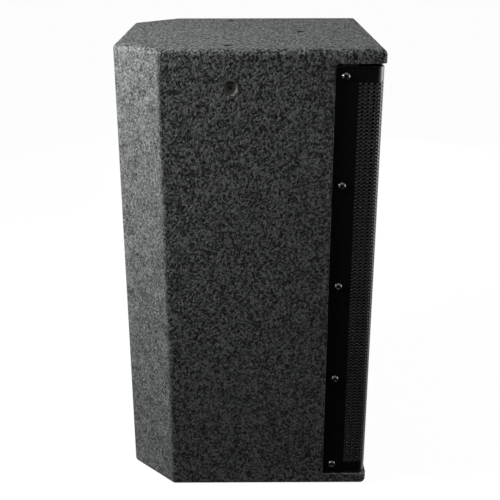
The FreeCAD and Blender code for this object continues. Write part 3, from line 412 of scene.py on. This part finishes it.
def makeFinish(name):
    spec = finishes[name]
    material, tree, shader, coords = newFinish(name)
    height = patternHeight(tree, coords, spec)
    lowest, highest = finishPattern["lowest"], finishPattern["highest"]
    shade = addNode(tree, "ShaderNodeValToRGB", {"Fac": height})
    for stop, position, code in zip(shade.color_ramp.elements, (lowest, highest), ("dark", "light")):
        stop.position, stop.color = position, linear(spec[code])
    smoothest, roughest = spec["rough"]
    rough = addNode(tree, "ShaderNodeMapRange", {
        "Value": height, "From Min": lowest, "From Max": highest, "To Min": roughest, "To Max": smoothest})
    bump = addNode(tree, "ShaderNodeBump", {
        "Height": height, "Strength": 1.0, "Distance": spec["bumpMm"] * mm})
    tree.links.new(shade.outputs["Color"], shader.inputs["Base Color"])
    tree.links.new(rough.outputs[0], shader.inputs["Roughness"])
    tree.links.new(bump.outputs["Normal"], shader.inputs["Normal"])
    shader.inputs["Metallic"].default_value = spec.get("metal", 0.0)
    shader.inputs["Specular IOR Level"].default_value = spec.get("specular", 0.5)
    return material


madeFinishes = {name: makeFinish(name) for name in finishes}
madeFinishes["rolledTexturePaint"] = rolledTexturePaint()
print("materials made:", len(madeFinishes))

# which finish each carried-over node wears
nodeFinish = {
    "rolledTexturePaint": ["top_panel", "bottom_panel", "left_side_panel", "right_side_panel",
                           "left_corner_panel", "right_corner_panel", "rear_panel"],
    "blackStainedPlywood": ["front_baffle", "cross_brace"],
    "zincPlatedSteel": ["rigging_bracket_left", "rigging_bracket_right", "rigging_plate_front",
                        "rigging_screws", "top_plate", "yoke"],
    "lacqueredCasting": ["woofer_frame"],
    "corkRubber": ["woofer_gasket"],
    "pressedPulp": ["woofer_cone", "dust_cap"],
    "enamelledCopper": ["voice_coil"],
    "woundCopper": ["inductors"],
    "sinteredFerrite": ["magnet"],
    "sparkTexturedAbs": ["horn", "left_port", "right_port", "terminal_dish"],
    "lacqueredSteel": ["compression_driver", "driver_cover"],
    "glassFilledNylon": ["upper_socket", "lower_socket", "socket_inserts"],
    "solderMaskLaminate": ["crossover_board"],
    "filmSleeve": ["capacitors"],
    "resistorCement": ["resistors"],
    "naturalNylon": ["board_spacers"],
}
for finish, names in nodeFinish.items():
    for name in names:
        cadNodes[name].data.materials.clear()
        cadNodes[name].data.materials.append(madeFinishes[finish])
print("carried-over nodes dressed")


# Perforated grille: laid out flat, welded, bent round the front of the cabinet and given its thickness
grilleSheet = {
    # millimetres
    "bend": 8.0,
    "sheet": 1.5,
    "columns": 111,
    "rows": 114,
    "bottomRim": 15.0,
    "topRim": 15.0,
    "sideStrip": 24.9,  # plain sheet behind the holes on each side
    "holes": (1.8, 3.1),  # in even and odd columns
    "holeSides": 8,
    "softEdge": 1.24,  # edges round a hole are shorter than this
    "weld": 0.01,
    # first column of each piece, and the one after its last
    "pieces": {"grilleLeft": (0, 28), "grilleFrontLeft": (28, 56), "grilleFrontRight": (56, 84),
               "grilleRight": (84, 111)},
}


# one flat cell, with points half way up its sides, so that staggered columns meet point to point
def grilleCell(step, pitch, hole, sides):
    x, y = step / 2, pitch / 2
    outline = [(x, 0), (x, y), (-x, y), (-x, 0), (-x, -y), (x, -y)]
    angles = [2 * math.pi * (i + 0.5) / sides for i in range(sides)]
    work = bmesh.new()
    for loop in (outline, [(hole / 2 * math.cos(a), hole / 2 * math.sin(a)) for a in angles]):
        verts = [work.verts.new((u, v, 0)) for u, v in loop]
        for first, last in zip(verts, verts[1:] + verts[:1]):
            work.edges.new((first, last))
    bmesh.ops.triangle_fill(work, use_beauty=True, edges=work.edges, normal=(0, 0, 1))
    return meshOf("grilleCell", work)


def perforationTree():
    tree, given = newTree("perforations", {
        "Cell": "Object", "Width": "Float", "Height": "Float", "Columns": "Int", "Rows": "Int",
        "Middle": "Vector", "Finish": "Material"})
    points = addNode(tree, "GeometryNodeMeshGrid", {
        "Size X": given["Width"], "Size Y": given["Height"], "Vertices X": given["Columns"],
        "Vertices Y": given["Rows"]})
    points = addNode(tree, "GeometryNodeTransform", {
        "Geometry": points.outputs["Mesh"], "Translation": given["Middle"]})
    cell = addNode(tree, "GeometryNodeObjectInfo", {"Object": given["Cell"]})
    cells = addNode(tree, "GeometryNodeInstanceOnPoints", {
        "Points": points.outputs[0], "Instance": cell.outputs["Geometry"]})
    return endTree(tree, cells.outputs[0], given["Finish"])


# a flat plate divided at the given places
def addPlate(work, across, upright):
    rows = [[work.verts.new((x, y, 0)) for x in across] for y in upright]
    for low, high in zip(rows, rows[1:]):
        for i in range(len(across) - 1):
            work.faces.new((low[i], low[i + 1], high[i + 1], high[i]))


# where a point of the flat sheet comes to lie on the outer face
def bendPoint(run, height, flatHalf, bend, front):
    past = abs(run) - flatHalf
    turn = min(max(past / bend, 0), math.pi / 2)
    beyond = max(past - bend * math.pi / 2, 0)
    x = min(abs(run), flatHalf) + bend * math.sin(turn)
    return Vector((math.copysign(x, run), front + bend * (1 - math.cos(turn)) + beyond, height))


# the coat runs thick round each hole, so only the sheet's own long edges stay sharp
def softenHoles(mesh, longest):
    for edge in mesh.edges:
        first, last = (mesh.vertices[i].co for i in edge.vertices)
        if (first - last).length < longest:
            edge.use_edge_sharp = False


def makeGrille():
    spec = grilleSheet
    finish = madeFinishes["satinPowderCoat"]
    low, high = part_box("grille")
    bend = spec["bend"] * mm
    flatHalf = high.x - bend
    halfRun = flatHalf + bend * math.pi / 2 + high.y - low.y - bend
    fieldHalf = halfRun - spec["sideStrip"] * mm
    bottom, top = low.z + spec["bottomRim"] * mm, high.z - spec["topRim"] * mm
    rows = spec["rows"]
    step, pitch = 2 * fieldHalf / spec["columns"], (top - bottom) / rows
    levels = [low.z] + [bottom + i * pitch / 2 for i in range(2 * rows + 1)] + [high.z]
    cells = [newObject("grilleCell", grilleCell(step, pitch, hole * mm, spec["holeSides"]))
             for hole in spec["holes"]]
    tree = perforationTree()
    for name, (first, end) in spec["pieces"].items():
        edges = [i * step - fieldHalf for i in range(first, end + 1)]
        work = bmesh.new()
        parity = [[i for i in range(first, end) if i % 2 == odd] for odd in (0, 1)]
        for odd, mine in enumerate(parity):  # odd columns are half a pitch higher and have one hole fewer
            middle = (mine[0] + mine[-1] + 1) / 2 * step - fieldHalf
            field = runTree(newObject("field", bpy.data.meshes.new("field")), tree, {
                "Cell": cells[odd], "Columns": len(mine), "Width": (mine[-1] - mine[0]) * step,
                "Rows": rows - odd, "Height": (rows - odd - 1) * pitch,
                "Middle": (middle, (bottom + top) / 2, 0), "Finish": finish})
            work.from_mesh(field.data)
            bpy.data.objects.remove(field)
        for i in parity[1]:  # plain half cells close the odd columns below and above
            sides = edges[i - first:i - first + 2]
            addPlate(work, sides, [bottom, bottom + pitch / 2])
            addPlate(work, sides, [top - pitch / 2, top])
        addPlate(work, edges, [low.z, bottom])
        addPlate(work, edges, [top, high.z])
        if first == 0:
            addPlate(work, [-halfRun, -fieldHalf], levels)
        if end == spec["columns"]:
            addPlate(work, [fieldHalf, halfRun], levels)
        bmesh.ops.remove_doubles(work, verts=work.verts, dist=spec["weld"] * mm)
        for vert in work.verts:
            vert.co = bendPoint(vert.co.x, vert.co.y, flatHalf, bend, low.y)
        piece = newObject(name, meshOf(name, work))
        wall = piece.modifiers.new("wall", "SOLIDIFY")
        wall.thickness, wall.offset = spec["sheet"] * mm, -1.0
        bake(piece)
        dress(piece, finish, smooth=50)
        softenHoles(piece.data, spec["softEdge"] * mm)
        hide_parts("grille")
        print(name, "has", len(piece.data.polygons), "faces")
    for cell in cells:
        bpy.data.objects.remove(cell)


makeGrille()
print("grille perforated")


# Socket screws: a turned head with a hexagon driven into it, set out on points by Geometry Nodes
screwKinds = {
    # radius and height above the seat, from the end of the shank to the flat of the head, in millimetres
    "grilleButton": {"profile": [(2.4, -10.0), (2.4, 0.0), (4.75, 0.0), (4.75, 0.45), (4.55, 1.05),
                                 (4.1, 1.65), (3.5, 2.15), (2.8, 2.52), (2.1, 2.75)],
                     "socket": 3.0, "depth": 1.7},
    "panButton": {"profile": [(2.4, -17.0), (2.4, 0.0), (4.4, 0.0), (4.4, 0.6), (4.2, 1.3), (3.75, 1.95),
                              (3.1, 2.5), (2.5, 2.8), (2.0, 3.0)],
                  "socket": 3.0, "depth": 1.8},
    "flushBolt": {"profile": [(4.0, -28.0), (4.0, -4.4), (7.0, -1.4), (7.2, -1.1), (7.0, -0.9), (6.75, -1.0),
                              (6.3, -1.5), (4.8, -1.8), (3.3, -1.5)],
                  "socket": 5.0, "depth": 2.6},
    "dishButton": {"profile": [(1.8, -11.0), (1.8, 0.0), (3.4, 0.0), (3.4, 0.5), (3.2, 1.1), (2.7, 1.6),
                               (2.1, 1.9), (1.6, 2.0)],
                   "socket": 2.5, "depth": 1.3},
}
screwShape = {
    "sides": 24,
    "mouth": 1.12,  # the hexagon is this much wider where it breaks the head
    "mouthDepth": 0.2,
}


def socketScrew(name):
    spec = screwKinds[name]
    angles = [2 * math.pi * i / screwShape["sides"] for i in range(screwShape["sides"])]
    outlines = [([r] * len(angles), z) for r, z in spec["profile"]]
    face = spec["profile"][-1][1]
    mouth = [(screwShape["mouth"], face), (1.0, face - screwShape["mouthDepth"]), (1.0, face - spec["depth"])]
    # turn of each angle from the middle of the hexagon's nearest flat
    offFlat = [(a + math.pi / 6) % (math.pi / 3) - math.pi / 6 for a in angles]
    for grow, z in mouth:
        outlines.append(([spec["socket"] / 2 * grow / math.cos(turn) for turn in offFlat], z))
    rings = [[(r * mm * math.cos(a), r * mm * math.sin(a), z * mm) for r, a in zip(radii, angles)]
             for radii, z in outlines]
    return loftMesh(name, rings)


def screwTree():
    tree, given = newTree("screwsOnPoints", {"Geometry": "Geometry", "Screw": "Object", "Finish": "Material"})
    turn = addNode(tree, "GeometryNodeInputNamedAttribute", {"Name": "turn"}, data_type="FLOAT_VECTOR")
    turn = addNode(tree, "FunctionNodeEulerToRotation", {"Euler": turn.outputs["Attribute"]})
    screw = addNode(tree, "GeometryNodeObjectInfo", {"Object": given["Screw"]})
    screws = addNode(tree, "GeometryNodeInstanceOnPoints", {
        "Points": given["Geometry"], "Instance": screw.outputs["Geometry"], "Rotation": turn.outputs[0]})
    return endTree(tree, screws.outputs[0], given["Finish"])


screwLayout = {
    "grilleScrews": {"node": "grille_screws", "kind": "grilleButton", "finish": "blackZincSteel",
                     "inset": 29.0, "count": 5},
    "sideBolts": {"node": "side_bolts", "kind": "flushBolt", "finish": "phosphatedSteel"},
    "wooferScrews": {"node": "woofer_screws", "kind": "panButton", "finish": "blackOxideSteel",
                     "circle": 122.5, "count": 8},
    "hornScrews": {"node": "horn_screws", "kind": "panButton", "finish": "blackOxideSteel"},
    "dishScrews": {"node": "dish_screws", "kind": "dishButton", "finish": "blackOxideSteel"},
}
spinStep = 2.4  # radians from one screw's hexagon to the next


# radius and height of a screw's head in metres
def headSize(kind):
    profile = screwKinds[kind]["profile"]
    return profile[2][0] * mm, profile[-1][1] * mm


# places in metres with the way that each head faces, read from the solid screws' boxes
def screwPlaces():
    boxes = {name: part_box(spec["node"]) for name, spec in screwLayout.items()}
    sides = (-1, 1)

    spec = screwLayout["grilleScrews"]
    low, high = boxes["grilleScrews"]
    face, across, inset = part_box("grille")[1].x, (low.y + high.y) / 2, spec["inset"] * mm
    gap = (cadBox[1][2] - 2 * inset) / (spec["count"] - 1)
    heights = [inset + i * gap for i in range(spec["count"])]
    yield "grilleScrews", [((side * face, across, z), (side, 0, 0)) for side in sides for z in heights]

    low, high = boxes["sideBolts"]
    across, height = (low.y + high.y) / 2, (low.z + high.z) / 2
    yield "sideBolts", [((side * high.x, across, height), (side, 0, 0)) for side in sides]

    spec = screwLayout["wooferScrews"]
    low, high = boxes["wooferScrews"]
    seat = low.y + headSize(spec["kind"])[1]
    circle, height = spec["circle"] * mm, (low.z + high.z) / 2
    angles = [2 * math.pi * (i + 0.5) / spec["count"] for i in range(spec["count"])]
    yield "wooferScrews", [((circle * math.cos(a), seat, height + circle * math.sin(a)), (0, -1, 0))
                           for a in angles]

    for name, facing in (("hornScrews", -1), ("dishScrews", 1)):  # one at each corner
        low, high = boxes[name]
        rim, head = headSize(screwLayout[name]["kind"])
        seat = low.y + head if facing < 0 else high.y - head
        yield name, [((x, seat, z), (0, facing, 0)) for x in (low.x + rim, high.x - rim)
                     for z in (low.z + rim, high.z - rim)]


def makeScrews():
    tree = screwTree()
    for name, places in screwPlaces():
        spec = screwLayout[name]
        finish = madeFinishes[spec["finish"]]
        screw = newObject(spec["kind"], socketScrew(spec["kind"]))
        points = bpy.data.meshes.new(name)
        points.from_pydata([place for place, facing in places], [], [])
        turns = points.attributes.new("turn", "FLOAT_VECTOR", "POINT")
        for i, (place, facing) in enumerate(places):
            spun = Matrix.Rotation(i * spinStep, 3, "Z")
            turns.data[i].vector = (Vector(facing).to_track_quat("Z", "Y").to_matrix() @ spun).to_euler()
        piece = runTree(newObject(name, points), tree, {"Screw": screw, "Finish": finish})
        dress(piece, finish, smooth=40)
        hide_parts(spec["node"])
        bpy.data.objects.remove(screw)
        print(name, "set:", len(places))


makeScrews()


# Surround and centring disc: rings of pleated cloth in sectors, each bent between the frame and the cone
clothRings = {
    # radii in order: edge glued to the moving side, first pleat, last pleat, edge clamped to the frame
    "wooferSurround": {"node": "woofer_surround", "finish": "dopedCloth", "radii": (91.0, 97.0, 109.0, 116.0),
                       "pleats": 2, "turnSteps": 10},
    "centringDisc": {"node": "spider", "finish": "stiffenedCotton", "radii": (26.3, 30.0, 68.0, 80.0),
                     "pleats": 3, "turnSteps": 6},
}
ringShape = {
    "cloth": 1.0,  # millimetres thick
    "sectors": 12,
    "pleatSteps": 12,
}


# radius and rise of the cloth from edge to edge, in millimetres
def pleatLine(radii, pleats, rise):
    inner, first, last, outer = radii
    steps = pleats * ringShape["pleatSteps"]
    waves = []
    for i in range(steps + 1):
        turn = 2 * math.pi * pleats * i / steps
        waves.append((first + (last - first) * i / steps, rise * (0.5 - 0.5 * math.cos(turn))))
    return [(inner, 0.0)] + waves + [(outer, 0.0)]


def makeClothRing(name):
    spec = clothRings[name]
    finish = madeFinishes[spec["finish"]]
    low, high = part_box(spec["node"])
    cloth, sectors, steps = ringShape["cloth"], ringShape["sectors"], spec["turnSteps"]
    under = pleatLine(spec["radii"], spec["pleats"], (high.y - low.y) / mm - cloth)
    profile = under + [(r, rise + cloth) for r, rise in reversed(under)]
    middle = Vector((0, 0, (low.z + high.z) / 2))
    half = math.pi / sectors
    for i in range(sectors):
        aim = 2 * half * i
        rings = []
        for k in range(steps + 1):
            a = aim - half + 2 * half * k / steps
            rings.append([middle + Vector((r * mm * math.cos(a), high.y - rise * mm, r * mm * math.sin(a)))
                          for r, rise in profile])
        label = f"{name}{i + 1}"
        piece = dress(newObject(label, loftMesh(label, rings)), finish, body=None)
        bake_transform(piece)
        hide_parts(spec["node"])


for ring in clothRings:
    makeClothRing(ring)
print("surround and centring disc pleated")


# Foam behind the grille and wadding on the walls: soft slabs whose faces wander a little inside their room
wadding = {"finish": "polyesterWadding", "slot": "wadding_felt", "edge": 7.0, "wander": 5.0, "lump": 30.0,
           "fill": 0.4}
softPads = {
    "grilleFoam": {"node": "grille_foam", "finish": "openCellFoam", "slot": "foam", "edge": 2.0,
                   "wander": 0.4, "lump": 25.0, "fill": 0.9},
    "leftWadding": {"node": "left_wadding", **wadding},
    "rightWadding": {"node": "right_wadding", **wadding},
    "rearWadding": {"node": "rear_wadding", **wadding},
}
padCuts = 28


def makePad(name):
    spec = softPads[name]
    low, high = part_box(spec["node"])
    middle, half = (low + high) / 2, (high - low) / 2
    edge, wander, lump = spec["edge"] * mm, spec["wander"] * mm, spec["lump"] * mm
    work = bmesh.new()
    bmesh.ops.create_cube(work, size=2)
    bmesh.ops.subdivide_edges(work, edges=work.edges, cuts=padCuts, use_grid_fill=True)
    for vert in work.verts:
        outer = Vector(c * h for c, h in zip(vert.co, half))
        core = Vector(max(edge - h, min(h - edge, c)) for c, h in zip(outer, half))
        away = (outer - core).normalized()
        sunk = wander * (0.5 + 0.5 * noise.noise((middle + outer) / lump))
        vert.co = middle + core + away * (edge - sunk)
    piece = newObject(name, meshOf(name, work))
    dress(piece, madeFinishes[spec["finish"]], smooth=60)
    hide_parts(spec["node"])


for pad in softPads:
    makePad(pad)
print("foam and wadding laid in")


# Floor, backdrop and soft studio light, in metres
studio = {
    "white": "#ffffff",
    "floor": "#f4f4f3",
    "floorReach": 8.0,
    "floorGlow": 0.975,  # share of the seen floor that stays white in the shadow
    "bounce": "#555553",  # the floor as the light that it throws back sees it
    "ambient": 0.04,
    "cardNear": -0.155,  # a black card lies on the floor from the foot of the object to below the camera
    "cardFar": -2.4,  # and stands up behind it
    "cardTall": 1.8,
    "cardLift": 0.001,
    "cardSides": (-1.8, 0.7),
    "cardBlack": "#0c0c0c",
    "lamps": {
        # name: place, aim, width, height, watts
        "topSoftbox": ((-0.32, -0.12, 1.55), (-0.1, -0.05, 0.35), 0.4, 0.4, 2.3),
        "rearRim": ((-0.225, 0.80, 0.82), (-0.12, 0.15, 0.4), 0.3, 0.3, 35.0),
        "frontPanel": ((-0.08, -1.55, 0.45), (-0.05, 0.0, 0.4), 1.3, 0.9, 24.0),
        "rightFill": ((1.7, -0.2, 0.32), (0.1, 0.0, 0.3), 0.8, 0.4, 12.0),
    },
}


# 1 for what the camera sees, directly or in a reflection, and 0 for light that bounces
def seenShare(tree):
    rays = addNode(tree, "ShaderNodeLightPath").outputs
    seen = rays["Is Camera Ray"]
    for ray in ("Is Glossy Ray", "Is Transmission Ray"):
        seen = addNode(tree, "ShaderNodeMath", {0: seen, 1: rays[ray]}, operation="MAXIMUM").outputs[0]
    return seen


def makeWorld():
    world = bpy.data.worlds.new("whiteStudio")
    scene.world = world
    world.use_nodes = True
    tree = world.node_tree
    tree.nodes.clear()
    strength = addNode(tree, "ShaderNodeMapRange", {
        "Value": seenShare(tree), "To Min": studio["ambient"], "To Max": 1.0})
    glow = addNode(tree, "ShaderNodeBackground", {
        "Color": linear(studio["white"]), "Strength": strength.outputs[0]})
    addNode(tree, "ShaderNodeOutputWorld", {"Surface": glow.outputs[0]})


def makeFloor():
    material = bpy.data.materials.new("paleFloor")
    material.use_nodes = True
    tree = material.node_tree
    tree.nodes.clear()
    matt = addNode(tree, "ShaderNodeBsdfDiffuse", {"Color": linear(studio["floor"])})
    white = addNode(tree, "ShaderNodeEmission", {"Color": linear(studio["white"]), "Strength": 1.0})
    pale = addNode(tree, "ShaderNodeMixShader", {
        0: studio["floorGlow"], 1: matt.outputs[0], 2: white.outputs[0]})
    dim = addNode(tree, "ShaderNodeBsdfDiffuse", {"Color": linear(studio["bounce"])})
    both = addNode(tree, "ShaderNodeMixShader", {0: seenShare(tree), 1: dim.outputs[0], 2: pale.outputs[0]})
    addNode(tree, "ShaderNodeOutputMaterial", {"Surface": both.outputs[0]})
    reach = studio["floorReach"]
    corners = [(-reach, -reach, 0), (reach, -reach, 0), (reach, reach, 0), (-reach, reach, 0)]
    floor = newObject("floor", meshFrom("floor", corners, [(0, 1, 2, 3)]))
    floor.data.materials.append(material)


# the card keeps the near side dark in reflections, so only light that bounces meets it
def makeCard():
    near, far, lift, tall = (studio["card" + name] for name in ("Near", "Far", "Lift", "Tall"))
    lines = [[(x, y, z) for x, z in ((near, lift), (far, lift), (far, tall))] for y in studio["cardSides"]]
    flag = newObject("blackFlag", meshFrom("blackFlag", lines[0] + lines[1], [(0, 1, 4, 3), (1, 2, 5, 4)]))
    card = bpy.data.materials.new("blackCard")
    card.use_nodes = True
    shader = card.node_tree.nodes["Principled BSDF"]
    shader.inputs["Base Color"].default_value = linear(studio["cardBlack"])
    shader.inputs["Specular IOR Level"].default_value = 0.0
    flag.data.materials.append(card)
    flag.visible_camera = flag.visible_shadow = False


def makeLamps():
    for name, (place, aim, wide, tall, watts) in studio["lamps"].items():
        lamp = bpy.data.lights.new(name, "AREA")
        lamp.shape, lamp.size, lamp.size_y, lamp.energy = "RECTANGLE", wide, tall, watts
        made = newObject(name, lamp)
        made.location = place
        made.rotation_mode = "QUATERNION"
        made.rotation_quaternion = (Vector(aim) - Vector(place)).to_track_quat("-Z", "Y")
        made.visible_camera = False


makeWorld()
makeFloor()
makeCard()
makeLamps()
scene.view_settings.view_transform = "Standard"
print("studio lit")
